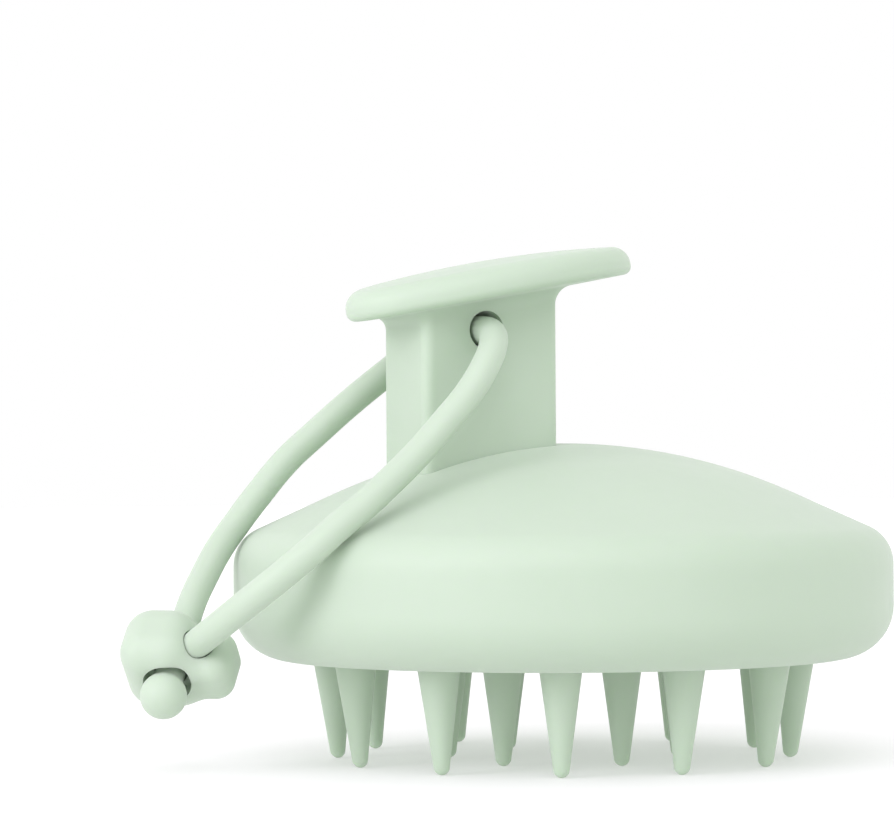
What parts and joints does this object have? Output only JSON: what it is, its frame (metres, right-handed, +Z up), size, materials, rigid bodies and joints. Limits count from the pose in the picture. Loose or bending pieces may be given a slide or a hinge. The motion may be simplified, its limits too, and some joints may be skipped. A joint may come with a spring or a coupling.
{
  "type": "scalp massager brush",
  "caption": "Hand-held scalp massager brush: a domed silicone head on soft bristles, a stem with an oval grip plate, and a looped silicone lanyard.",
  "frame": {"origin": "on the axis of the round head, at the level of the bristle tips that it stands on", "axes": "+Z up along the head's axis, -X towards the front, where the lanyard hangs over the rim, +Y to the far side"},
  "size_m": [0.1022, 0.0848, 0.0659],
  "materials": {
    "body_silicone": "matte",
    "lanyard_silicone": "matte"
  },
  "bodies": {
    "brush": {"head": "body_silicone", "stem": "body_silicone", "grip_plate": "body_silicone", "bristle_outer_1": "body_silicone", "bristle_outer_2": "body_silicone", "bristle_outer_3": "body_silicone", "bristle_outer_4": "body_silicone", "bristle_outer_5": "body_silicone", "bristle_outer_6": "body_silicone", "bristle_outer_7": "body_silicone", "bristle_outer_8": "body_silicone", "bristle_outer_9": "body_silicone", "bristle_outer_10": "body_silicone", "bristle_outer_11": "body_silicone", "bristle_outer_12": "body_silicone", "bristle_inner_1": "body_silicone", "bristle_inner_2": "body_silicone", "bristle_inner_3": "body_silicone", "bristle_inner_4": "body_silicone", "bristle_inner_5": "body_silicone", "bristle_inner_6": "body_silicone", "bristle_centre": "body_silicone"},
    "lanyard": {"lanyard_cord": "lanyard_silicone", "lanyard_ring": "lanyard_silicone"},
    "ball_end": {"lanyard_ball": "lanyard_silicone"}
  },
  "joints": [
    {"name": "lanyard_swing", "type": "hinge", "parent": "brush", "child": "lanyard", "pos_m": [-0.0142, 0, 0.0547], "axis": [0, 1, 0], "range_deg": [0, 70]},
    {"name": "ball_pull", "type": "slide", "parent": "lanyard", "child": "ball_end", "axis": [-0.4807, -0.5408, -0.6902], "range_m": [0, 0.006]}
  ]
}
